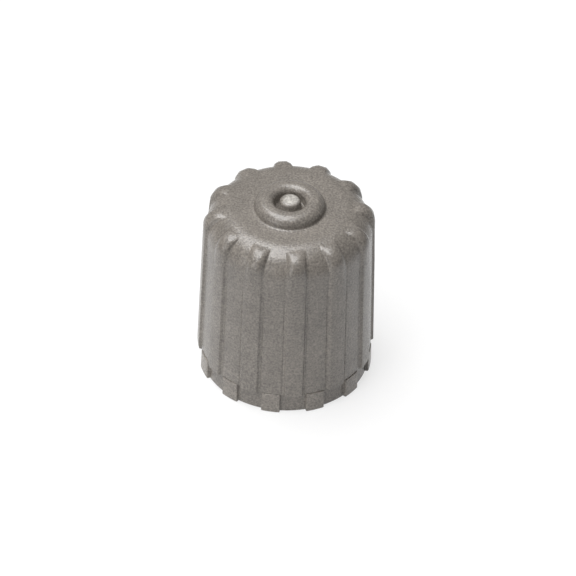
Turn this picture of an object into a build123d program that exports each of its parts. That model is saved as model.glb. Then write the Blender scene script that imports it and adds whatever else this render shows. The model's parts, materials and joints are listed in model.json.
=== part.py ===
from build123d import *

import math
import os

# Tyre valve cap: a ribbed, injection-moulded plastic cap with a rubber seal ring inside.
# Millimetres. +Z is up along the cap's axis, and the origin is the centre of the mouth's rim,
# so the cap stands mouth down on Z = 0. One rib is centred on the -Y side.

# Thread and wall, which set the diameter of everything outside them
THREAD_ROOT_RADIUS = 3.9      # 8V1 valve thread: outside radius of the cap's internal thread
WALL = 1.48                   # between the thread root and the skirt, carried down to the rim
DRAFT_DEG = 1.65              # the skirt, its ribs and its blocks narrow upwards by this angle

# Height of the cap and its closed end
CAP_HEIGHT = 12.02            # rim to flat top
END_THICKNESS = 1.92          # flat top to the ceiling of the seal's seat
SHOULDER_RADIUS = 1.77        # rounding between the skirt and the flat top

# Grip ribs on the skirt
RIB_COUNT = 12
RIB_HEIGHT = 0.16             # how far a rib stands off the skirt
RIB_WIDTH = 1.13
RIB_CROWN_DROP = 0.10         # rib's upper end below the flat top
RIB_CROWN_RADIUS = 1.09       # rounding of the rib's upper outer corner
RIB_EDGE_RADIUS = 0.10        # rounding along the rib's outer edges

# Set-back band at the rim, with a block below each space between two ribs
BAND_HEIGHT = 1.4
BAND_SETBACK = 0.16           # how far the band lies behind the skirt
BLOCK_HEIGHT = 0.2            # how far a block stands off the band
BLOCK_WIDTH = 1.18
BLOCK_EDGE_RADIUS = 0.06      # rounding along the block's outer edges
RIM_EDGE_RADIUS = 0.08        # rounding at the foot of the band

# Nub in the middle of the flat top, the moat round it and the raised ring round that
NUB_RADIUS = 0.62
NUB_HEIGHT = 0.66             # nub's top above the flat top
NUB_EDGE_RADIUS = 0.20
NUB_FLANK_DEG = 16.0          # the nub's side leans out by this angle, down to the moat's floor
MOAT_WIDTH = 0.33             # between the nub's top and the ring
MOAT_DEPTH = 0.15             # moat's floor below the flat top
RING_HEIGHT = 0.69            # ring's crest above the flat top
RING_INNER_RADIUS = 0.45      # rounding from the moat's wall to the crest
RING_FLAT = 0.13              # narrow flat on the crest
RING_OUTER_RADIUS = 0.63      # the ring's round outside
RING_FOOT_RADIUS = 0.12       # hollow rounding where the ring meets the flat top

# Mouth, seal seat and seal
MOUTH_CHAMFER = 0.5           # lead-in at the start of the thread
SEAT_LEDGE = 0.5              # the seat is narrower than the thread root by this much, all round
SEAT_DEPTH = 1.2
SEAL_CLEARANCE = 0.02         # between the seal's edge and its seat
SEAL_RECESS = 0.1             # seal's face behind the end of the thread
SEAL_HOLE_RADIUS = 1.8
SEAL_EDGE_RADIUS = 0.12

DRAFT = math.radians(DRAFT_DEG)
PITCH_DEG = 360.0 / RIB_COUNT
RIM_SKIRT_RADIUS = THREAD_ROOT_RADIUS + WALL
RING_WALL_RADIUS = NUB_RADIUS + MOAT_WIDTH
CREST_Z = CAP_HEIGHT + RING_HEIGHT
SEAT_RADIUS = THREAD_ROOT_RADIUS - SEAT_LEDGE
CEILING_Z = CAP_HEIGHT - END_THICKNESS
THREAD_END_Z = CEILING_Z - SEAT_DEPTH
RIB_TOP_Z = CAP_HEIGHT - RIB_CROWN_DROP
MOAT_Z = CAP_HEIGHT - MOAT_DEPTH
EMBED = WALL / 2              # how deep a rib or block is rooted in the wall
MEET = 1e-6                   # points closer than this are the same point

UP = math.pi / 2
DOWN = -math.pi / 2


def wall_radius(z, height=0.0):
    """Radius at height z of the drafted skirt, or of a wall that stands off it by height."""
    return RIM_SKIRT_RADIUS + height - math.tan(DRAFT) * z


def on_circle(centre, radius, angle):
    """Point of a circle in the profile plane, at an angle in radians from the outward direction."""
    return (centre[0] + radius * math.cos(angle), centre[1] + radius * math.sin(angle))


def arc(centre, radius, start, end):
    """Circular arc in the profile plane between two angles in radians."""
    angles = (start, (start + end) / 2, end)
    return ThreePointArc(*[on_circle(centre, radius, angle) for angle in angles])


def corner_centre(z, radius, height=0.0):
    """Centre, at height z, of a rounding that is tangent to a drafted wall."""
    return (wall_radius(z, height) - radius / math.cos(DRAFT), z)


def profile(edges):
    """Face bounded by profile edges, with straight lines where one doesn't meet the next."""
    path = []
    for edge, following in zip(edges, edges[1:] + edges[:1]):
        path.append(edge)
        if (edge @ 1 - following @ 0).length > MEET:
            path.append(Line(edge @ 1, following @ 0))
    return make_face(path)


def nub_edges():
    """Profile of the nub: a short post with a rounded edge and a leaning side that stands in the moat."""
    top = CAP_HEIGHT + NUB_HEIGHT
    edge = (NUB_RADIUS - NUB_EDGE_RADIUS, top - NUB_EDGE_RADIUS)
    flank = math.radians(NUB_FLANK_DEG)
    side = on_circle(edge, NUB_EDGE_RADIUS, flank)
    foot_radius = side[0] + (side[1] - MOAT_Z) * math.tan(flank)
    return [
        Line((0.0, top), (edge[0], top)),
        arc(edge, NUB_EDGE_RADIUS, UP, flank),
        Line(side, (foot_radius, MOAT_Z)),
    ]


def ring_edges():
    """Profile of the raised ring, from the moat's floor over its crest and down into its hollow foot."""
    inner = (RING_WALL_RADIUS + RING_INNER_RADIUS, CREST_Z - RING_INNER_RADIUS)
    outer = (inner[0] + RING_FLAT, CREST_Z - RING_OUTER_RADIUS)
    apart = RING_OUTER_RADIUS + RING_FOOT_RADIUS
    lean = math.asin((CAP_HEIGHT + RING_FOOT_RADIUS - outer[1]) / apart)
    return [
        Line((RING_WALL_RADIUS, MOAT_Z), (RING_WALL_RADIUS, inner[1])),
        arc(inner, RING_INNER_RADIUS, math.pi, UP),
        arc(outer, RING_OUTER_RADIUS, UP, lean),
        arc(on_circle(outer, apart, lean), RING_FOOT_RADIUS, lean - math.pi, DOWN),
    ]


def skirt_edges():
    """Profile of the outside from the flat top to the rim: the shoulder, the band's step and the rim."""
    shoulder = corner_centre(CAP_HEIGHT - SHOULDER_RADIUS, SHOULDER_RADIUS)
    rim = corner_centre(RIM_EDGE_RADIUS, RIM_EDGE_RADIUS, -BAND_SETBACK)
    return [
        arc(shoulder, SHOULDER_RADIUS, UP, DRAFT),
        Line((wall_radius(BAND_HEIGHT), BAND_HEIGHT), (wall_radius(BAND_HEIGHT, -BAND_SETBACK), BAND_HEIGHT)),
        arc(rim, RIM_EDGE_RADIUS, DRAFT, DOWN),
    ]


def bore_edges():
    """Profile of the inside from the rim to the axis: mouth, thread root, seal seat and ceiling."""
    inside = Polyline(
        (THREAD_ROOT_RADIUS + MOUTH_CHAMFER, 0.0),
        (THREAD_ROOT_RADIUS, MOUTH_CHAMFER),
        (THREAD_ROOT_RADIUS, THREAD_END_Z),
        (SEAT_RADIUS, THREAD_END_Z),
        (SEAT_RADIUS, CEILING_Z),
        (0.0, CEILING_Z),
    )
    return list(inside.edges())


def core():
    """The cap without its ribs and blocks, turned from one profile."""
    half_section = profile(nub_edges() + ring_edges() + skirt_edges() + bore_edges())
    return revolve(Plane.XZ * half_section, Axis.Z)


def bar(edges, width):
    """Straight bar across the -Y side, drawn out from a profile to the given width along X."""
    side = Plane((0.0, 0.0, 0.0), x_dir=(0.0, -1.0, 0.0), z_dir=(-1.0, 0.0, 0.0)) * profile(edges)
    return extrude(side, width / 2, both=True)


def side_edges(solid, points):
    """Edges along both sides of a bar that run between two of the given points of its profile."""
    found = ShapeList()
    for edge in solid.faces().filter_by(Axis.X).edges():
        ends = [(-end.Y, end.Z) for end in (edge @ 0, edge @ 1)]
        if all(min(math.dist(end, point) for point in points) < MEET for end in ends):
            found.append(edge)
    return found


def rib():
    """One grip rib, from the top of the band up to its rounded crown on the shoulder."""
    crown = corner_centre(RIB_TOP_Z - RIB_CROWN_RADIUS, RIB_CROWN_RADIUS, RIB_HEIGHT)
    shoulder = corner_centre(CAP_HEIGHT - SHOULDER_RADIUS, SHOULDER_RADIUS)
    outline = [
        (wall_radius(BAND_HEIGHT, RIB_HEIGHT), BAND_HEIGHT),
        on_circle(crown, RIB_CROWN_RADIUS, DRAFT),
        on_circle(crown, RIB_CROWN_RADIUS, UP),
        (shoulder[0], RIB_TOP_Z),
    ]
    plain = bar(
        [
            Line((wall_radius(BAND_HEIGHT) - EMBED, BAND_HEIGHT), outline[0]),
            arc(crown, RIB_CROWN_RADIUS, DRAFT, UP),
            Line(outline[-1], (wall_radius(shoulder[1]) - EMBED, shoulder[1])),
        ],
        RIB_WIDTH,
    )
    return fillet(side_edges(plain, outline), RIB_EDGE_RADIUS)


def block():
    """One block of the rim's band."""
    outline = [(wall_radius(z, BLOCK_HEIGHT - BAND_SETBACK), z) for z in (0.0, BAND_HEIGHT)]
    plain = bar(
        [
            Line((RIM_SKIRT_RADIUS - EMBED, 0.0), outline[0]),
            Line(outline[1], (wall_radius(BAND_HEIGHT) - EMBED, BAND_HEIGHT)),
        ],
        BLOCK_WIDTH,
    )
    return fillet(side_edges(plain, outline), BLOCK_EDGE_RADIUS)


def around(solid, part_turn):
    """Copies of a rib or block at every pitch round the axis, all turned by a part of the pitch."""
    return [Rot(0.0, 0.0, PITCH_DEG * (number + part_turn)) * solid for number in range(RIB_COUNT)]


def cap_body():
    """The one-piece moulding: the turned core with its ribs and, half a pitch round, its blocks."""
    return core() + around(rib(), 0.0) + around(block(), 0.5)


def seal_ring():
    """Flat rubber ring that the valve's mouth presses on, seated against the ceiling."""
    thickness = SEAT_DEPTH - SEAL_RECESS
    disc = Cylinder(SEAT_RADIUS - SEAL_CLEARANCE, thickness)
    ring = disc - Cylinder(SEAL_HOLE_RADIUS, thickness)
    ring = fillet(ring.edges().filter_by(GeomType.CIRCLE), SEAL_EDGE_RADIUS)
    return Pos(0.0, 0.0, CEILING_Z - thickness / 2) * ring


os.makedirs("parts", exist_ok=True)
export_step(cap_body(), "parts/cap_body.step")
export_step(seal_ring(), "parts/seal_ring.step")
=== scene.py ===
"""Dresses a tyre valve cap: its ribbed, grained plastic moulding, the thread inside and the rubber seal.

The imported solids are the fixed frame, in metres: +Z is up the cap's axis, the rim stands on Z = 0 and one
rib is centred on -Y. The shapes below are worked out in millimetres and put into the meshes in metres.
"""

import json
import logging
import math
from dataclasses import dataclass, field
from enum import Enum
from typing import Any

import bpy
import numpy as np
from mathutils import Matrix, Vector


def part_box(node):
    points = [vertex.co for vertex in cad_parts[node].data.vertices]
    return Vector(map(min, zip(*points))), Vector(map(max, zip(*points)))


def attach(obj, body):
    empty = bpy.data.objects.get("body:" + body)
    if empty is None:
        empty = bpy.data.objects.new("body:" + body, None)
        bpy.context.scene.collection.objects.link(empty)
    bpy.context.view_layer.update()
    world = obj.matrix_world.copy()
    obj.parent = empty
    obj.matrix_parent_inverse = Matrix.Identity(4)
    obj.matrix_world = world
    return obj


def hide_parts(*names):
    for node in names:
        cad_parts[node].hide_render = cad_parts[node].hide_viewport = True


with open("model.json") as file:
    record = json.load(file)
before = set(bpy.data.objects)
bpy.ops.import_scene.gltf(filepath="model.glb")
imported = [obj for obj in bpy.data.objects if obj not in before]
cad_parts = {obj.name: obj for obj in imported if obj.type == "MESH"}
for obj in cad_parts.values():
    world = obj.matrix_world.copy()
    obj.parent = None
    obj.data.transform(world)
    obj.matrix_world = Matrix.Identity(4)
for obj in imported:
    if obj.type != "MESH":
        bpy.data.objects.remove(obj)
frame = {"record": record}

Array = np.ndarray
Pair = tuple[float, float]
Colour = tuple[float, float, float]
Socket = bpy.types.NodeSocket

LOG = logging.getLogger("valve_cap")
MM = 0.001
WHITE = (1.0, 1.0, 1.0, 1.0)

# Angles in a section, where 0 is outwards, and the plan angle of the first rib, which is on -Y
UP = math.pi / 2
DOWN = -math.pi / 2
FULL_TURN = 2 * math.pi
FRONT = -math.pi / 2

# Edges that turn by more than this are shaded as sharp
SHARP_EDGE = math.radians(40.0)


class Node(Enum):
    """The solids of the frame that this script dresses."""

    CAP_BODY = "cap_body"
    SEAL_RING = "seal_ring"


class Slot(Enum):
    """The record's material slots."""

    GREY_PLASTIC = "grey_plastic"
    SEAL_RUBBER = "seal_rubber"


@dataclass(frozen=True)
class Steps:
    """How many points each stretch of a section gets."""

    ridge_top: int = 2
    ridge_edge: int = 5
    ridge_foot: int = 3
    nub_dome: int = 4
    nub_edge: int = 5
    moat_corner: int = 2
    ring_inner: int = 8
    ring_outer: int = 9
    ring_foot: int = 5
    flat_top: int = 3
    shoulder_top: int = 6
    shoulder_side: int = 16
    crown: int = 24
    skirt: int = 8
    band_edge: int = 4
    band: int = 3
    rim_edge: int = 5
    rim_face: int = 2
    mouth: int = 3
    thread: int = 72
    seat_ledge: int = 2
    seat_wall: int = 3
    ceiling: int = 3
    seal_face: int = 24
    seal_edge: int = 5


STEPS = Steps()


# Profiles and meshes


def line(start: Pair, end: Pair, count: int) -> Array:
    """Evenly spaced points from start to end, without the start itself.

    Args:
        start: first (radius, height) in millimetres, left out of the result.
        end: last (radius, height) in millimetres.
        count: number of points returned.

    Returns:
        (count, 2) array of points.
    """
    share = np.arange(1, count + 1)[:, None] / count
    return np.asarray(start) + share * (np.asarray(end) - np.asarray(start))


def arc(centre: Pair, radius: float, start: float, end: float, count: int) -> Array:
    """Points of a circular arc: the centre plus the radius times (cosine, sine) of an even sweep of angles.

    Args:
        centre: (radius, height) of the arc's centre in millimetres.
        radius: the arc's own radius in millimetres.
        start: first angle in radians, left out of the result.
        end: last angle in radians.
        count: number of points returned.

    Returns:
        (count, 2) array of points.
    """
    angle = start + (end - start) * np.arange(1, count + 1) / count
    return np.stack([centre[0] + radius * np.cos(angle), centre[1] + radius * np.sin(angle)], axis=1)


def along(path: Array, share: Array) -> Array:
    """Points at the given shares of a polyline's length.

    Args:
        path: (n, 2) points of the polyline.
        share: shares of its length, from 0 to 1.

    Returns:
        One point for each share.
    """
    step = np.hypot(*np.diff(path, axis=0).T)
    run = np.concatenate([[0.0], np.cumsum(step)])
    return np.stack([np.interp(share * run[-1], run, path[:, axis]) for axis in (0, 1)], axis=1)


def ridge(height: float, width: float, edge: float, foot: float, flank: float) -> Array:
    """Half of a ridge's cross-section, from its middle to the end of its foot.

    A flat top, an outer rounding, a straight flank at the flank angle and a hollow foot rounding. The flank
    touches both circles, which fixes how far apart their centres are.

    Args:
        height: how far the ridge stands up.
        width: width between the middles of its two flanks.
        edge: radius of the outer rounding.
        foot: radius of the foot's rounding.
        flank: the flank's angle from upright, in radians.

    Returns:
        (n, 2) array of offset across the ridge and share of its height.
    """
    both = edge + foot
    spread = both * math.cos(flank) + math.tan(flank) * (height - both + both * math.sin(flank))
    outer = width / 2 - spread / 2
    hollow = (outer + spread, foot)
    flank_end = math.pi + flank
    points = np.concatenate([
        [(0.0, height)],
        line((0.0, height), (outer, height), STEPS.ridge_top),
        arc((outer, height - edge), edge, UP, flank, STEPS.ridge_edge),
        arc(hollow, foot, flank_end, flank_end, 1),
        arc(hollow, foot, flank_end, FULL_TURN + DOWN, STEPS.ridge_foot),
    ])
    return points * (1.0, 1.0 / height)


def smooth(value: Array) -> Array:
    """Smooth step from 0 to 1 over the same range: three times the square less twice the cube."""
    held = np.clip(value, 0.0, 1.0)
    return held * held * (3.0 - 2.0 * held)


def put_mesh(name: str, points: Array, faces: list[Array], sharp: float) -> bpy.types.Object:
    """Put points and faces into a new mesh object at the origin.

    Args:
        name: the object's name.
        points: (n, 3) points in millimetres.
        faces: arrays of vertex numbers, one array for each count of corners, faces pointing outwards.
        sharp: edges that turn by more than this angle in radians are shaded as sharp.

    Returns:
        The new object, linked to the scene.
    """
    mesh = bpy.data.meshes.new(name)
    corners = np.concatenate([part.ravel() for part in faces]).astype(np.int32)
    counts = np.concatenate([np.full(len(part), part.shape[1]) for part in faces])
    starts = np.concatenate([[0], np.cumsum(counts)[:-1]]).astype(np.int32)
    mesh.vertices.add(len(points))
    mesh.loops.add(len(corners))
    mesh.polygons.add(len(counts))
    mesh.vertices.foreach_set("co", (points * MM).astype(np.float32).ravel())
    mesh.loops.foreach_set("vertex_index", corners)
    mesh.polygons.foreach_set("loop_start", starts)
    mesh.update(calc_edges=True)
    mesh.validate()
    mesh.polygons.foreach_set("use_smooth", np.ones(len(counts), dtype=bool))
    mesh.set_sharp_from_angle(angle=sharp)
    piece = bpy.data.objects.new(name, mesh)
    bpy.context.scene.collection.objects.link(piece)
    return piece


def grid_faces(rows: int, columns: int, first: int) -> Array:
    """Quads of a grid whose columns close on themselves.

    Args:
        rows: number of rings of points.
        columns: number of points in a ring.
        first: number of the grid's first point.

    Returns:
        Array of four vertex numbers a face: down a row, then on by a column.
    """
    number = first + np.arange(rows * columns).reshape(rows, columns)
    onward = np.roll(number, -1, axis=1)
    quads = [number[:-1], number[1:], onward[1:], onward[:-1]]
    return np.stack([corner.ravel() for corner in quads], axis=1)


# Finishes


class Nodes:
    """Node tree of a material or of the world, with short calls that add nodes and set their sockets."""

    # Sockets of a Mix node that is set to colours, and the range that nearly all of a noise lies in
    MIX_SHARE, MIX_FIRST, MIX_SECOND, MIX_RESULT = 0, 6, 7, 2
    NOISE_SPAN: Pair = (0.3, 0.7)

    def __init__(self, owner: bpy.types.Material | bpy.types.World) -> None:
        """Start an empty tree in the given new material or world."""
        owner.use_nodes = True
        self.owner = owner
        self.tree = owner.node_tree
        self.tree.nodes.clear()

    def add(
        self, kind: str, sockets: dict[str | int, Any] | None = None, **settings: Any
    ) -> bpy.types.Node:
        """Add a node, apply its settings, and set or link its inputs.

        Args:
            kind: the node's type name.
            sockets: input name or number to a constant, or to an output socket to link.
            **settings: attributes of the node itself.

        Returns:
            The new node.
        """
        node = self.tree.nodes.new(kind)
        for key, value in settings.items():
            setattr(node, key, value)
        for key, value in (sockets or {}).items():
            if isinstance(value, Socket):
                self.tree.links.new(value, node.inputs[key])
            else:
                node.inputs[key].default_value = value
        return node

    def place(self) -> Socket:
        """Object coordinates, in metres."""
        return self.add("ShaderNodeTexCoord").outputs["Object"]

    def split(self, place: Socket) -> tuple[Socket, Socket]:
        """Split a place into its point in plan and its height."""
        apart = self.add("ShaderNodeSeparateXYZ", {"Vector": place}).outputs
        plan = self.add("ShaderNodeCombineXYZ", {"X": apart["X"], "Y": apart["Y"]})
        return plan.outputs["Vector"], apart["Z"]

    def distance(self, place: Socket, centre: tuple[float, float, float] = (0.0, 0.0, 0.0)) -> Socket:
        """Distance of a place from a fixed centre, in metres."""
        both = {0: place, 1: centre}
        return self.add("ShaderNodeVectorMath", both, operation="DISTANCE").outputs["Value"]

    def combine(self, operation: str, first: Socket | float, second: Socket | float) -> Socket:
        """Result of a Math node's operation on two values, each a socket or a constant."""
        return self.add("ShaderNodeMath", {0: first, 1: second}, operation=operation).outputs["Value"]

    def ramp(self, value: Socket, span: Pair, ends: Pair, kind: str = "LINEAR") -> Socket:
        """Carry a value's span over to a new one, holding the ends beyond it.

        Args:
            value: the value's socket.
            span: the two values that the ends belong to.
            ends: the results at those two values.
            kind: Map Range's way of passing from one to the other.

        Returns:
            The result's output socket.
        """
        limits = {"From Min": span[0], "From Max": span[1], "To Min": ends[0], "To Max": ends[1]}
        node = self.add("ShaderNodeMapRange", {"Value": value, **limits}, interpolation_type=kind)
        return node.outputs["Result"]

    def noise(self, place: Socket, size: float, detail: float, roughness: float) -> Socket:
        """Noise about one half whose coarsest lumps have the given size in millimetres."""
        sockets = {"Vector": place, "Scale": 1.0 / (size * MM), "Detail": detail, "Roughness": roughness}
        return self.add("ShaderNodeTexNoise", sockets).outputs["Fac"]

    def centred(self, noise: Socket, swing: float) -> Socket:
        """Turn a noise about one half into a factor from 1 less the swing to 1 plus it."""
        return self.ramp(noise, self.NOISE_SPAN, (1.0 - swing, 1.0 + swing))

    def mix(self, share: Socket | float, first: Any, second: Any, blend: str = "MIX") -> Socket:
        """Mix two colours.

        Args:
            share: share of the second one.
            first: the colour to start from, a socket or three values.
            second: the colour to mix in, a socket or three values.
            blend: how they are mixed.

        Returns:
            The mixed colour's output socket.
        """
        sockets = {self.MIX_SHARE: share}
        for key, colour in ((self.MIX_FIRST, first), (self.MIX_SECOND, second)):
            sockets[key] = colour if isinstance(colour, Socket) else (*colour, 1.0)
        node = self.add("ShaderNodeMix", sockets, data_type="RGBA", blend_type=blend)
        return node.outputs[self.MIX_RESULT]

    def bump(self, height: Socket, depth: float) -> Socket:
        """Normal of a bumped surface, for a height from 0 to 1 over the given depth in millimetres."""
        sockets = {"Height": height, "Strength": 1.0, "Distance": depth * MM}
        return self.add("ShaderNodeBump", sockets).outputs["Normal"]

    def shown(self) -> Socket:
        """Factor that is 1 for rays that show a background, straight, mirrored or through glass, else 0."""
        path = self.add("ShaderNodeLightPath").outputs
        seen = path["Is Camera Ray"]
        for ray in ("Is Glossy Ray", "Is Transmission Ray"):
            seen = self.combine("MAXIMUM", seen, path[ray])
        return seen

    def finish(
        self, shader: Socket, output: str = "ShaderNodeOutputMaterial"
    ) -> bpy.types.Material | bpy.types.World:
        """Link a shader to the tree's output and return the tree's owner."""
        self.add(output, {"Surface": shader})
        return self.owner


@dataclass(frozen=True)
class GrainedPlastic:
    """Warm grey moulded plastic with the fine pitted grain of a spark-eroded mould.

    The grain is noise on Object coordinates at about a tenth of a millimetre, used as a bump and in the
    colour. A coarser noise adds the slow cloudiness of a moulded surface. The nub's top carries a painted
    highlight: a paler round patch above a given height, a little off the axis, with a soft edge. The blocks
    at the rim are painted a little paler, as bounce light from the floor. Sizes are in millimetres.
    """

    name: str = "grained_plastic"
    colour: Colour = (0.196, 0.177, 0.156)
    roughness: float = 0.26
    ior: float = 1.58
    grain_size: float = 0.12
    grain_detail: float = 2.0
    grain_roughness: float = 0.55
    grain_depth: float = 0.028
    grain_tone: float = 0.34
    cloud_size: float = 1.6
    cloud_detail: float = 3.0
    cloud_roughness: float = 0.6
    cloud_tone: float = 0.12
    # Painted highlight: a paler patch of colour on the nub's top, where its highlight falls
    nub_highlight_colour: Colour = (0.45, 0.43, 0.397)
    nub_highlight_centre: Pair = (0.1, 0.02)
    nub_highlight_radius: float = 0.6
    nub_highlight_edge: float = 0.28
    # Painted bounce light: the blocks at the rim are painted paler, as if lit from the floor below
    bounce_light_tone: float = 1.17

    def material(self, highlight_height: float, bounce_height: float, bounce_radius: float) -> bpy.types.Material:
        """Build the node tree.

        Args:
            highlight_height: height in millimetres above which the nub's top carries its painted highlight.
            bounce_height: height in millimetres below which the blocks are painted paler as bounce light.
            bounce_radius: radius in millimetres beyond which the blocks are painted paler as bounce light.

        Returns:
            The material.
        """
        nodes = Nodes(bpy.data.materials.new(self.name))
        place = nodes.place()
        grain = nodes.noise(place, self.grain_size, self.grain_detail, self.grain_roughness)
        cloud = nodes.noise(place, self.cloud_size, self.cloud_detail, self.cloud_roughness)
        grained, clouded = nodes.centred(grain, self.grain_tone), nodes.centred(cloud, self.cloud_tone)
        tone = nodes.combine("MULTIPLY", grained, clouded)
        # Painted bounce light: the colour of the blocks is made paler
        tone = nodes.combine("MULTIPLY", tone, self.painted_bounce_light(nodes, place, bounce_height, bounce_radius))
        # Painted highlight: the nub's top is mixed towards a paler colour
        base = nodes.mix(self.painted_nub_highlight(nodes, place, highlight_height), self.colour, self.nub_highlight_colour)
        shader = nodes.add(
            "ShaderNodeBsdfPrincipled",
            {
                "Base Color": nodes.mix(1.0, base, tone, "MULTIPLY"),
                "Roughness": self.roughness,
                "IOR": self.ior,
                "Normal": nodes.bump(grain, self.grain_depth),
            },
        )
        return nodes.finish(shader.outputs["BSDF"])

    def painted_bounce_light(self, nodes: Nodes, place: Socket, height: float, radius: float) -> Socket:
        """Factor on the colour for painted bounce light: the paler tone below the height and beyond the
        radius, and 1 elsewhere.

        Args:
            nodes: the tree to add to.
            place: Object coordinates.
            height: height in millimetres below which the colour is painted paler as bounce light.
            radius: radius in millimetres beyond which it is painted paler as bounce light.

        Returns:
            The factor's output socket.
        """
        plan, level = nodes.split(place)
        far = nodes.combine("GREATER_THAN", nodes.distance(plan), radius * MM)
        low = nodes.combine("LESS_THAN", level, height * MM)
        return nodes.ramp(nodes.combine("MULTIPLY", far, low), (0.0, 1.0), (1.0, self.bounce_light_tone))

    def painted_nub_highlight(self, nodes: Nodes, place: Socket, height: float) -> Socket:
        """Share of the painted highlight on the nub's top: 1 inside and above its height, falling to 0 over
        its soft edge.

        Args:
            nodes: the tree to add to.
            place: Object coordinates.
            height: height in millimetres above which the painted highlight shows.

        Returns:
            The share's output socket.
        """
        plan, level = nodes.split(place)
        centre = (self.nub_highlight_centre[0] * MM, self.nub_highlight_centre[1] * MM, 0.0)
        span = ((self.nub_highlight_radius - self.nub_highlight_edge) * MM, self.nub_highlight_radius * MM)
        near = nodes.ramp(nodes.distance(plan, centre), span, (1.0, 0.0))
        return nodes.combine("MULTIPLY", near, nodes.combine("GREATER_THAN", level, height * MM))


@dataclass(frozen=True)
class DullRubber:
    """Black seal rubber: dark, rough, with a faint bloom and a soft fine texture.

    Sizes are in millimetres.
    """

    name: str = "dull_rubber"
    colour: Colour = (0.02, 0.02, 0.02)
    bloom: Colour = (0.045, 0.044, 0.042)
    roughness: float = 0.65
    grain_size: float = 0.12
    grain_detail: float = 2.0
    grain_depth: float = 0.006
    bloom_size: float = 1.2
    bloom_detail: float = 4.0
    noise_roughness: float = 0.5

    def material(self) -> bpy.types.Material:
        """Build the node tree and return the material."""
        nodes = Nodes(bpy.data.materials.new(self.name))
        place = nodes.place()
        grain = nodes.noise(place, self.grain_size, self.grain_detail, self.noise_roughness)
        cloud = nodes.noise(place, self.bloom_size, self.bloom_detail, self.noise_roughness)
        shader = nodes.add(
            "ShaderNodeBsdfPrincipled",
            {
                "Base Color": nodes.mix(cloud, self.colour, self.bloom),
                "Roughness": self.roughness,
                "Normal": nodes.bump(grain, self.grain_depth),
            },
        )
        return nodes.finish(shader.outputs["BSDF"])


@dataclass(frozen=True)
class PaleFloor:
    """Pale floor that is pure white round the cap, still darkens under it, and fades to grey farther off.

    To the camera and in reflections it is a white glow with a diffuse share, which keeps the shadow. To
    other rays it is plain white diffuse, which lights the cap from below as a white table does. Both fade
    with the distance from the cap, by a smooth step, to the grey of the surround. Distances are in metres.
    """

    name: str = "pale_floor"
    colour: float = 0.92
    glow: float = 0.7
    shadow_share: float = 0.3
    fade_start: float = 0.043
    fade_end: float = 0.09

    def material(self, surround: float) -> bpy.types.Material:
        """Build the node tree.

        Args:
            surround: brightness of the surround, which the floor fades to.

        Returns:
            The material.
        """
        nodes = Nodes(bpy.data.materials.new(self.name))
        away = nodes.distance(nodes.place())
        plain = self.diffuse(nodes, away, self.colour)
        shaded = self.diffuse(nodes, away, self.shadow_share)
        strength = self.fade(nodes, away, self.glow, surround)
        light = nodes.add("ShaderNodeEmission", {"Color": WHITE, "Strength": strength}).outputs["Emission"]
        both = nodes.add("ShaderNodeAddShader", {0: shaded, 1: light}).outputs["Shader"]
        mixed = nodes.add("ShaderNodeMixShader", {0: nodes.shown(), 1: plain, 2: both})
        return nodes.finish(mixed.outputs["Shader"])

    def diffuse(self, nodes: Nodes, away: Socket, near: float) -> Socket:
        """Diffuse shader of the given grey round the cap, which fades to black."""
        tone = self.fade(nodes, away, near, 0.0)
        return nodes.add("ShaderNodeBsdfDiffuse", {"Color": tone}).outputs["BSDF"]

    def fade(self, nodes: Nodes, away: Socket, near: float, far: float) -> Socket:
        """Value that passes from near to far by a smooth step of the distance between the fade's two radii.

        Args:
            nodes: the tree to add to.
            away: distance from the middle of the floor.
            near: value round the cap.
            far: value beyond the fade.

        Returns:
            The value's output socket.
        """
        return nodes.ramp(away, (self.fade_start, self.fade_end), (near, far), "SMOOTHSTEP")


# The cap's moulding


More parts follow.
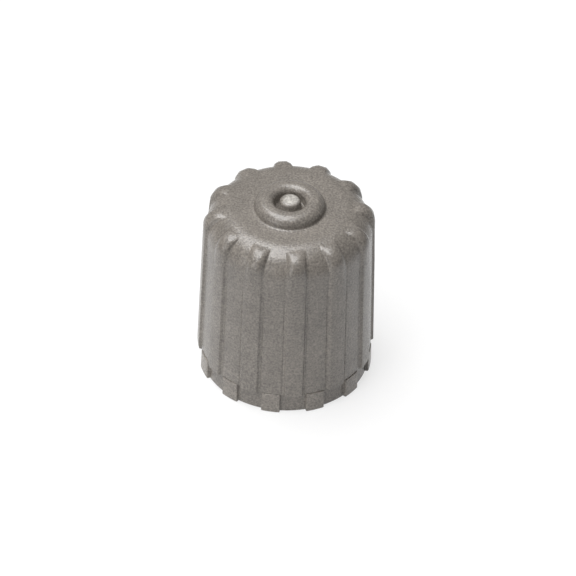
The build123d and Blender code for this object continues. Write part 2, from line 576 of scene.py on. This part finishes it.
@dataclass
class CapBody:
    """The moulded cap: one closed surface of columns round the axis and rows along its section.

    A column is a place across a rib, from its middle to the middle of the next space. A row is a place
    along the section, from the nub's top over the shoulder and down the skirt, round the rim, up the thread
    and across the ceiling to the axis. Each row has a point on the skirt, on a rib and on a block, and each
    column says how much of the rib and of the block it has. Sizes are in millimetres, angles in radians.
    """

    # Read from the frame
    rib_reach: float
    top: float
    thread_root: float
    thread_start: float
    thread_end: float
    seat_radius: float
    ceiling: float

    # Skirt and shoulder
    draft: float = math.radians(1.65)
    shoulder_radius: float = 1.77

    # Ribs, the fine groove beside each foot, and the narrower, rounder crowns
    ribs: int = 12
    rib_height: float = 0.16
    rib_width: float = 1.13
    rib_edge: float = 0.06
    rib_foot: float = 0.05
    rib_flank: float = math.radians(28.0)
    foot_groove_width: float = 0.12
    foot_groove_depth: float = 0.035
    crown_width: float = 0.88
    crown_edge: float = 0.26
    crown_flank: float = math.radians(25.0)
    crown_start: float = 8.0
    crown_drop: float = 0.1
    crown_radius: float = 1.09

    # Band at the rim, its blocks, and the groove above a block, whose shares go from its top down
    band_height: float = 1.4
    band_setback: float = 0.16
    band_edge: float = 0.05
    block_height: float = 0.2
    block_width: float = 1.18
    block_edge: float = 0.06
    block_foot: float = 0.02
    block_flank: float = math.radians(6.0)
    groove: float = 0.03
    groove_shares: tuple[float, ...] = (0.2, 0.9, 1.0, 1.0)
    rim_edge: float = 0.08

    # Nub, moat and ring
    nub_radius: float = 0.62
    nub_height: float = 0.66
    nub_edge: float = 0.2
    nub_dome: float = 0.03
    nub_flank: float = math.radians(16.0)
    moat_width: float = 0.33
    moat_depth: float = 0.15
    moat_corner: float = 0.05
    ring_height: float = 0.69
    ring_inner: float = 0.45
    ring_flat: float = 0.13
    ring_outer: float = 0.63
    ring_foot: float = 0.12

    # Mouth and thread
    mouth_chamfer: float = 0.5
    thread_pitch: float = 0.794
    thread_depth: float = 0.45
    thread_fade: float = 0.8
    thread_power: float = 1.3

    # Columns closer than this share of half a pitch are joined
    join_share: float = 0.003
    finish: GrainedPlastic = field(default_factory=GrainedPlastic)

    @property
    def half_pitch(self) -> float:
        """Half the angle from one rib to the next, in radians."""
        return math.pi / self.ribs

    @property
    def flat_top(self) -> float:
        """Height of the flat top."""
        return self.top - self.ring_height

    @property
    def crown_top(self) -> float:
        """Height of a rib's upper end."""
        return self.flat_top - self.crown_drop

    @property
    def crown_height(self) -> float:
        """Height of a rib's crown above the shoulder, halfway round the shoulder's curve."""
        half = math.sqrt(0.5)
        return self.rib_height + (1.0 - half) * (self.shoulder_radius - self.crown_radius)

    @property
    def block_stand(self) -> float:
        """How far a block stands off the skirt."""
        return self.block_height - self.band_setback

    def wall(self, z: float, height: float = 0.0) -> float:
        """Radius at height z of the drafted skirt, or of a wall that stands off it by height."""
        return self.rib_reach - self.rib_height + height - math.tan(self.draft) * (z - self.band_height)

    def upright(self, heights: Array, stand: float = 0.0) -> Array:
        """Points of the drafted wall at the given heights, standing off it by the given distance."""
        radius = self.wall(0.0, stand) - math.tan(self.draft) * heights
        return np.stack([radius, heights], axis=1)

    def corner(self, z: float, radius: float, height: float = 0.0) -> Pair:
        """Centre, at height z, of a rounding that is tangent to a drafted wall."""
        return (self.wall(z, height) - radius / math.cos(self.draft), z)

    def columns(self) -> tuple[Array, Array, Array, Array, Array]:
        """Columns of half a pitch, from a rib's middle to the middle of the next space.

        The places are those of the rib's section and its groove, measured from the rib's middle, and those
        of the block's, measured back from the middle of the space, in one rising order of angle at the
        skirt's foot.

        Returns:
            Offset from the rib's middle, for the rib's own columns; share of the way from the rib's foot to
            the middle of the space, for the others; share of the rib's height on the skirt; the same share
            at its narrower, rounder crown; share of the block's height.
        """
        rib = ridge(self.rib_height, self.rib_width, self.rib_edge, self.rib_foot, self.rib_flank)
        rib = np.concatenate([rib, rib[-1] + self.foot_groove()])
        block = ridge(
            self.block_height, self.block_width, self.block_edge, self.block_foot, self.block_flank
        )[::-1]
        lobe = ridge(self.crown_height, self.crown_width, self.crown_edge, self.rib_foot, self.crown_flank)
        wall = self.wall(0.0)
        rib_angle = np.arcsin(rib[:, 0] / wall)
        block_angle = self.half_pitch - np.arcsin(block[:, 0] / wall)
        angle = np.sort(np.concatenate([rib_angle, block_angle]))
        apart = np.diff(angle, prepend=-1.0) > self.join_share * self.half_pitch
        apart[-1] = True
        angle = angle[apart]
        foot = rib_angle[-1]
        offset = wall * np.sin(np.minimum(angle, foot))
        onward = np.maximum(angle - foot, 0.0) / (self.half_pitch - foot)
        rib_share = np.interp(angle, rib_angle, rib[:, 1])
        crown_share = np.interp(offset, lobe[:, 0], lobe[:, 1])
        block_share = np.interp(angle, block_angle, block[:, 1])
        return offset, onward, rib_share, crown_share, block_share

    def foot_groove(self) -> Array:
        """Bottom and far edge of the groove beside a rib's foot, measured as a ridge's section is."""
        width, depth = self.foot_groove_width, self.foot_groove_depth / self.rib_height
        return np.array([(width / 2, -depth), (width, 0.0)])

    def closed_end(self) -> Array:
        """Section of the closed end, from the nub's middle to the ring's hollow foot on the flat top.

        The nub is a post with a faint dome, a rounded edge and a side that leans out by the flank angle
        down to a small hollow corner, whose circle touches the side and the moat's floor. The ring rises
        straight from the moat, turns in to its narrow flat crest, turns down its rounder outside and ends
        in a small hollow rounding, whose circle touches the outside's circle and the flat top.
        """
        level, corner, flank = self.flat_top, self.moat_corner, self.nub_flank
        floor, nub_top = level - self.moat_depth, level + self.nub_height
        rounding = (self.nub_radius - self.nub_edge, nub_top - self.nub_dome - self.nub_edge)
        across = np.linspace(0.0, 1.0, STEPS.nub_dome + 1)
        dome = np.stack([rounding[0] * across, nub_top - self.nub_dome * across**2], axis=1)
        lip = arc(rounding, self.nub_edge, UP, flank, STEPS.nub_edge)
        low = floor + corner * (1.0 - math.sin(flank))
        nub_foot = lip[-1, 0] + (lip[-1, 1] - low) * math.tan(flank)
        hollow = (nub_foot + corner * math.cos(flank), floor + corner)
        inner = self.nub_radius + self.moat_width
        within = (inner + self.ring_inner, self.top - self.ring_inner)
        outside = (within[0] + self.ring_flat, self.top - self.ring_outer)
        reach = self.ring_outer + self.ring_foot
        lean = math.asin((level + self.ring_foot - outside[1]) / reach)
        beside = (outside[0] + reach * math.cos(lean), level + self.ring_foot)
        return np.concatenate([
            dome,
            lip,
            [(nub_foot, low)],
            arc(hollow, corner, math.pi + flank, FULL_TURN + DOWN, STEPS.moat_corner),
            [(inner - corner, floor)],
            arc((inner - corner, floor + corner), corner, DOWN, 0.0, STEPS.moat_corner),
            arc(within, self.ring_inner, math.pi, UP, STEPS.ring_inner),
            arc(outside, self.ring_outer, UP, lean, STEPS.ring_outer),
            arc(beside, self.ring_foot, lean - math.pi, DOWN, STEPS.ring_foot),
        ])

    def shoulder(self, start: Pair) -> tuple[Array, Array]:
        """Section from the ring's foot to the foot of the shoulder, on the skirt and on a rib.

        The skirt's is the flat top and one large arc. The rib's leaves that arc at the crown's height, runs
        level to the crown's own arc and goes down it to the rib's wall.

        Args:
            start: the last point of the closed end.

        Returns:
            Two (n, 2) arrays of the same length: the skirt's points and the rib's.
        """
        radius = self.shoulder_radius
        centre = self.corner(self.flat_top - radius, radius)
        leave = math.asin((self.crown_top - centre[1]) / radius)
        flat = line(start, (centre[0], self.flat_top), STEPS.flat_top)
        upper = arc(centre, radius, UP, leave, STEPS.shoulder_top)
        lower = arc(centre, radius, leave, self.draft, STEPS.shoulder_side)
        crown = self.corner(self.crown_top - self.crown_radius, self.crown_radius, self.rib_height)
        low_z = float(lower[-1, 1])
        path = np.concatenate([
            upper[-1:],
            [(crown[0], self.crown_top)],
            arc(crown, self.crown_radius, UP, self.draft, STEPS.crown),
            [(self.wall(low_z, self.rib_height), low_z)],
        ])
        on_rib = along(path, np.arange(1, len(lower) + 1) / len(lower))
        shared = np.concatenate([flat, upper])
        return np.concatenate([shared, lower]), np.concatenate([shared, on_rib])

    def skirt(self, start_z: float) -> tuple[Array, Array, Array]:
        """Section of the wall from the shoulder to the band, on the skirt, on a rib and above a block.

        The skirt and the rib end in a small rounding and a level step back to the band. Above a block the
        skirt ends in a fine groove instead, with as many points, and the block's ledge starts there.

        Args:
            start_z: height of the shoulder's foot.

        Returns:
            Three (n, 2) arrays of the same length: the skirt's points, the rib's and the block's.
        """
        band, edge = self.band_height, self.band_edge
        plain = self.upright(np.linspace(start_z, band + 2 * edge, STEPS.skirt + 1)[1:])
        back = [(self.wall(band, -self.band_setback), band)]
        turns = [
            arc((self.wall(band, stand) - edge, band + edge), edge, self.draft, DOWN, STEPS.band_edge)
            for stand in (0.0, self.rib_height)
        ]
        hollow = self.upright(np.linspace(band + edge, band, STEPS.band_edge))
        hollow[:, 0] -= self.groove * np.array(self.groove_shares)
        ledge = [(self.wall(band, self.block_stand) - edge, band)]
        return (
            np.concatenate([plain, turns[0], back]),
            np.concatenate([plain + (self.rib_height, 0.0), turns[1], back]),
            np.concatenate([plain, hollow, ledge]),
        )

    def band(self) -> tuple[Array, Array]:
        """Section of the band below the skirt, on the band itself and on a block, down to the rim's face.

        Returns:
            Two (n, 2) arrays of the same length: the band's points and the block's.
        """
        band, edge, rim = self.band_height, self.band_edge, self.rim_edge
        ledge_centre = (self.wall(band, self.block_stand) - edge, band - edge)
        ledge = arc(ledge_centre, edge, UP, self.draft, STEPS.band_edge)
        beside = self.upright(np.linspace(band, band - edge, STEPS.band_edge + 1)[1:], -self.band_setback)
        downs = np.linspace(band - edge, rim, STEPS.band + 1)[1:]
        turns = [
            arc(self.corner(rim, rim, stand), rim, self.draft, DOWN, STEPS.rim_edge)
            for stand in (-self.band_setback, self.block_stand)
        ]
        return (
            np.concatenate([beside, self.upright(downs, -self.band_setback), turns[0]]),
            np.concatenate([ledge, self.upright(downs, self.block_stand), turns[1]]),
        )

    def inside(self) -> tuple[Array, Array]:
        """Section of the inside from the rim's face to the axis, and the thread's depth along it.

        Returns:
            (n, 2) array of points at the thread's root, and n thread depths, which fade in and out.
        """
        root, mouth, seat = self.thread_root, self.thread_root + self.mouth_chamfer, self.seat_radius
        start, end = self.thread_start, self.thread_end
        rim = (self.wall(0.0, -self.band_setback) - 2 * self.rim_edge, 0.0)
        lead_in = np.concatenate([
            [rim],
            line(rim, (mouth, 0.0), STEPS.rim_face),
            line((mouth, 0.0), (root, start), STEPS.mouth),
        ])
        bore = line((root, start), (root, end), STEPS.thread)
        closing = np.concatenate([
            line((root, end), (seat, end), STEPS.seat_ledge),
            line((seat, end), (seat, self.ceiling), STEPS.seat_wall),
            line((seat, self.ceiling), (0.0, self.ceiling), STEPS.ceiling),
        ])
        from_ends = np.minimum(bore[:, 1] - start, end - bore[:, 1])
        depth = self.thread_depth * smooth(from_ends / self.thread_fade)
        depths = np.concatenate([np.zeros(len(lead_in)), depth, np.zeros(len(closing))])
        return np.concatenate([lead_in, bore, closing]), depths

    def rows(self) -> tuple[Array, Array, Array, Array]:
        """All rows of the section: points on the skirt, on a rib and on a block, and thread depths."""
        end = self.closed_end()
        shoulder, shoulder_rib = self.shoulder(tuple(end[-1]))
        skirt, skirt_rib, skirt_block = self.skirt(float(shoulder[-1, 1]))
        band, band_block = self.band()
        inside, depth = self.inside()
        core = np.concatenate([end, shoulder, skirt, band, inside])
        rib = np.concatenate([end, shoulder_rib, skirt_rib, band, inside])
        block = np.concatenate([end, shoulder, skirt_block, band_block, inside])
        return core, rib, block, np.concatenate([np.zeros(len(core) - len(depth)), depth])

    def surface(self) -> Array:
        """Points of the whole surface, one ring a row.

        A column's angle is the arc sine of its offset over the row's radius, so a rib's sides stay
        parallel, and the columns of a space share out what is left of the pitch. The radius is the skirt's,
        plus the column's share of the block's height there, less the thread: its depth times a rounded wave
        of height over pitch less angle over a full turn, which climbs as a right-hand helix. The rib's
        share of the way from the skirt's point to the rib's is added along the rib's own direction. That
        share passes smoothly, by height, from the skirt's section to the crown's.

        Returns:
            (rows, columns, 3) array in millimetres.
        """
        core, rib, block, depth = self.rows()
        offset, onward, rib_share, crown_share, block_share = self.columns()
        count = len(offset)
        order = np.concatenate([np.arange(count), np.arange(count - 2, 0, -1)])
        side = np.concatenate([np.ones(count), -np.ones(count - 2)])
        level = np.maximum(core[:, 0], self.seat_radius)[:, None]
        foot = np.arcsin(offset[-1] / level)
        local = np.where(onward > 0, foot + onward * (self.half_pitch - foot), np.arcsin(offset / level))
        local = np.tile(side * local[:, order], (1, self.ribs))
        middle = 2 * self.half_pitch * (np.arange(self.ribs)[:, None] + (side < 0)) + FRONT
        middle = middle.ravel()
        crowned = smooth((rib[:, 1:] - self.crown_start) / (self.crown_top - self.crown_start))
        rib_part = np.tile((rib_share + crowned * (crown_share - rib_share))[:, order], (1, self.ribs))
        block_part = np.tile(block_share[order], self.ribs)
        angle = middle + local
        turns = core[:, 1:] / self.thread_pitch - angle / FULL_TURN
        wave = (0.5 - 0.5 * np.cos(FULL_TURN * turns)) ** self.thread_power
        radius = core[:, :1] + block_part * (block - core)[:, :1] - depth[:, None] * wave
        height = core[:, 1:] + block_part * (block - core)[:, 1:] + rib_part * (rib - core)[:, 1:]
        lift = rib_part * (rib - core)[:, :1]
        x = radius * np.cos(angle) + lift * np.cos(middle)
        y = radius * np.sin(angle) + lift * np.sin(middle)
        return np.stack([x, y, height], axis=2)

    def build(self) -> bpy.types.Object:
        """Make the moulding's mesh, with one point at each pole, and stand it in for its solid."""
        rings = self.surface()
        rows, columns = rings.shape[0] - 2, rings.shape[1]
        points = np.concatenate([rings[0, :1], rings[1:-1].reshape(-1, 3), rings[-1, :1]])
        ring = 1 + np.arange(columns)
        last = ring + (rows - 1) * columns
        pole = np.zeros(columns, dtype=int)
        top = np.stack([pole, ring, np.roll(ring, -1)], axis=1)
        bottom = np.stack([pole + len(points) - 1, np.roll(last, -1), last], axis=1)
        faces = [top, bottom, grid_faces(rows, columns, 1)]
        return self.dress(put_mesh("cap_moulding", points, faces, SHARP_EDGE))

    def dress(self, piece: bpy.types.Object) -> bpy.types.Object:
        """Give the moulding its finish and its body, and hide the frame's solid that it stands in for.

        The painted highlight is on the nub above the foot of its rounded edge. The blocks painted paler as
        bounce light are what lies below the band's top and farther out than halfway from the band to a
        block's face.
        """
        edge_start = self.flat_top + self.nub_height - self.nub_dome - self.nub_edge
        between = self.wall(0.0, (self.block_stand - self.band_setback) / 2)
        # The nub's painted highlight and the blocks' painted bounce light are placed by these heights and
        # radius
        piece.data.materials.append(self.finish.material(edge_start, self.band_height, between))
        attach(piece, "root")
        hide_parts(Node.CAP_BODY.value)
        return piece


@dataclass
class SealRing:
    """The flat rubber ring at the end of the thread: a rounded section carried round the axis.

    Sizes are in millimetres. The hole isn't in the frame's box, so it is given here.
    """

    outer: float
    low: float
    high: float
    inner: float = 1.8
    edge: float = 0.12
    seat_clearance: float = 0.02
    dent_depth: float = 0.05
    dent_reach: float = 0.5
    columns: int = 144
    finish: DullRubber = field(default_factory=DullRubber)

    @property
    def seat_radius(self) -> float:
        """Radius of the seat that holds the ring."""
        return self.outer + self.seat_clearance

    def section(self) -> Array:
        """Closed section: a rectangle with four rounded corners and a shallow dent in its lower face.

        The dent is a raised cosine across the middle of the face, where the valve's mouth has pressed.

        Returns:
            (n, 2) array of radius and height in millimetres.
        """
        edge, steps = self.edge, STEPS.seal_edge
        left, right = self.inner + edge, self.outer - edge
        low, high = self.low + edge, self.high - edge
        face = line((left, self.low), (right, self.low), STEPS.seal_face)
        middle = (self.inner + self.outer) / 2
        across = np.clip((face[:, 0] - middle) / self.dent_reach, -1.0, 1.0)
        face[:, 1] += self.dent_depth * (0.5 + 0.5 * np.cos(math.pi * across))
        return np.concatenate([
            face,
            arc((right, low), edge, DOWN, 0.0, steps),
            arc((right, high), edge, 0.0, UP, steps),
            arc((left, high), edge, UP, math.pi, steps),
            arc((left, low), edge, math.pi, FULL_TURN + DOWN, steps),
        ])

    def build(self) -> bpy.types.Object:
        """Make the ring's mesh, closed both ways, and stand it in for its solid."""
        section = self.section()
        angle = FULL_TURN * np.arange(self.columns) / self.columns
        radius = section[:, :1]
        height = np.broadcast_to(section[:, 1:], (len(section), self.columns))
        rings = np.stack([radius * np.cos(angle), radius * np.sin(angle), height], axis=2)
        number = np.arange(height.size).reshape(height.shape)
        onward = np.roll(number, -1, axis=1)
        corners = (number, onward, np.roll(onward, -1, axis=0), np.roll(number, -1, axis=0))
        quads = np.stack([corner.ravel() for corner in corners], axis=1)
        return self.dress(put_mesh("seal_washer", rings.reshape(-1, 3), [quads], SHARP_EDGE))

    def dress(self, piece: bpy.types.Object) -> bpy.types.Object:
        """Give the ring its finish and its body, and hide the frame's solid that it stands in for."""
        piece.data.materials.append(self.finish.material())
        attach(piece, "root")
        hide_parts(Node.SEAL_RING.value)
        return piece


# The studio


def direction(azimuth: float, elevation: float) -> Vector:
    """Unit direction from the cap, from two angles in degrees.

    Args:
        azimuth: 0 is towards -Y and 90 towards +X.
        elevation: angle above the floor.

    Returns:
        The direction.
    """
    a, e = math.radians(azimuth), math.radians(elevation)
    return Vector((math.sin(a) * math.cos(e), -math.cos(a) * math.cos(e), math.sin(e)))


@dataclass(frozen=True)
class Softbox:
    """A soft lamp that looks at the cap: where it stands, how wide, how tall and how strong it is.

    Angles are in degrees, lengths in metres and the power is in watts.
    """

    name: str
    azimuth: float
    elevation: float
    distance: float
    width: float
    height: float
    power: float

    def build(self, target: Vector) -> bpy.types.Object:
        """Make the lamp, turned towards the target.

        Args:
            target: the point that it looks at, in metres.

        Returns:
            The lamp's object.
        """
        lamp = bpy.data.lights.new(self.name, "AREA")
        lamp.shape, lamp.size, lamp.size_y = "RECTANGLE", self.width, self.height
        lamp.energy = self.power
        away = direction(self.azimuth, self.elevation)
        stand = bpy.data.objects.new(self.name, lamp)
        stand.location = target + away * self.distance
        stand.rotation_euler = (-away).to_track_quat("-Z", "Y").to_euler()
        bpy.context.scene.collection.objects.link(stand)
        return stand


TOP_SOFTBOX = Softbox(
    "top_softbox", azimuth=-97.5, elevation=76.7, distance=0.35, width=0.39, height=0.25, power=2.0
)
SIDE_SOFTBOX = Softbox(
    "side_softbox", azimuth=-49.0, elevation=15.0, distance=0.35, width=0.146, height=0.146, power=0.26
)


@dataclass
class Studio:
    """A white floor, soft lamps, an even pale surround and the camera that matches the photograph's view.

    Angles are in degrees and the camera's distance, its clipping and the floor's size are in metres. The
    height that everything is aimed at and the floor's drop are in millimetres.
    """

    aim_height: float = 5.5
    picture: int = 576
    azimuth: float = -6.6
    elevation: float = 41.4
    roll: float = 1.95
    distance: float = 0.2174
    pixels_per_mm: float = 16.205
    centre_pixel: Pair = (287.03, 288.04)
    sensor: float = 36.0
    clip: Pair = (0.001, 10.0)
    floor_size: float = 2.0
    floor_drop: float = 0.01
    surround: float = 0.3
    lamps: tuple[Softbox, ...] = (TOP_SOFTBOX, SIDE_SOFTBOX)

    @property
    def centre(self) -> Vector:
        """The point that the camera and the lamps are aimed at, in metres."""
        return Vector((0.0, 0.0, self.aim_height * MM))

    def camera(self) -> bpy.types.Object:
        """Make the camera: it looks along the fitted direction, rolled, with the cap off its centre.

        The lens is the distance times the picture's scale, as a share of the picture, times the sensor. The
        camera slides in its own plane so that the cap's centre falls on its pixel of the photograph.
        """
        data = bpy.data.cameras.new("camera")
        data.sensor_width = self.sensor
        data.lens = self.pixels_per_mm * self.distance / MM / self.picture * self.sensor
        data.clip_start, data.clip_end = self.clip
        back = direction(self.azimuth, self.elevation)
        aim = (-back).to_track_quat("-Z", "Y").to_matrix().to_4x4()
        turned = aim @ Matrix.Rotation(math.radians(self.roll), 4, "Z")
        scale = MM / self.pixels_per_mm
        right = (self.centre_pixel[0] - self.picture / 2) * scale
        up = (self.picture / 2 - self.centre_pixel[1]) * scale
        place = self.centre + back * self.distance - turned.to_3x3() @ Vector((right, up, 0.0))
        holder = bpy.data.objects.new("camera", data)
        holder.matrix_world = Matrix.Translation(place) @ turned
        bpy.context.scene.collection.objects.link(holder)
        bpy.context.scene.camera = holder
        return holder

    def floor(self) -> bpy.types.Object:
        """Make the pale floor, a hair below the rim so that the two faces don't coincide."""
        half = self.floor_size / 2 / MM
        corners = half * np.array([(-1, -1, 0), (1, -1, 0), (1, 1, 0), (-1, 1, 0)], float)
        corners[:, 2] = -self.floor_drop
        piece = put_mesh("floor", corners, [np.arange(4)[None, :]], SHARP_EDGE)
        piece.data.materials.append(PaleFloor().material(self.surround))
        return piece

    def world(self) -> bpy.types.World:
        """Make the surround: pale grey where it is seen or mirrored, and no light of its own on the cap."""
        nodes = Nodes(bpy.data.worlds.new("surround"))
        strength = nodes.combine("MULTIPLY", nodes.shown(), self.surround)
        ground = nodes.add("ShaderNodeBackground", {"Color": WHITE, "Strength": strength})
        bpy.context.scene.world = nodes.finish(ground.outputs["Background"], "ShaderNodeOutputWorld")
        return bpy.context.scene.world

    def build(self) -> None:
        """Make the floor, the surround, the lamps and the camera."""
        bpy.context.scene.view_settings.view_transform = "Standard"
        self.floor()
        self.world()
        for lamp in self.lamps:
            lamp.build(self.centre)
        self.camera()


def read_seal() -> SealRing:
    """Read the seal's sizes from the frame's solid, in millimetres."""
    low, high = (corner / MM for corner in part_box(Node.SEAL_RING.value))
    return SealRing(outer=high.x, low=low.z, high=high.z)


def read_cap(seal: SealRing) -> CapBody:
    """Read the cap's driving sizes from the frame's solid and its thread mount.

    Args:
        seal: the ring that the cap's seat holds.

    Returns:
        The moulding, with sizes in millimetres.
    """
    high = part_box(Node.CAP_BODY.value)[1] / MM
    thread = next(mount for mount in frame["record"]["mounts"] if mount["kind"] == "threaded_hole")
    middle, length = thread["pos_m"][2] / MM, thread["dims"]["length_mm"]
    return CapBody(
        rib_reach=high.y,
        top=high.z,
        thread_root=thread["dims"]["r_mm"],
        thread_start=middle - length / 2,
        thread_end=middle + length / 2,
        seat_radius=seal.seat_radius,
        ceiling=seal.high,
    )


def main() -> None:
    """Build the cap's pieces and the studio in order."""
    logging.basicConfig(level=logging.INFO, format="%(name)s: %(message)s")
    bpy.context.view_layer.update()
    seal = read_seal()
    for part in (read_cap(seal), seal):
        piece = part.build()
        LOG.info("%s: %d points, %d faces", piece.name, len(piece.data.vertices), len(piece.data.polygons))
    Studio().build()
    LOG.info("studio ready")


if __name__ == "__main__":
    main()
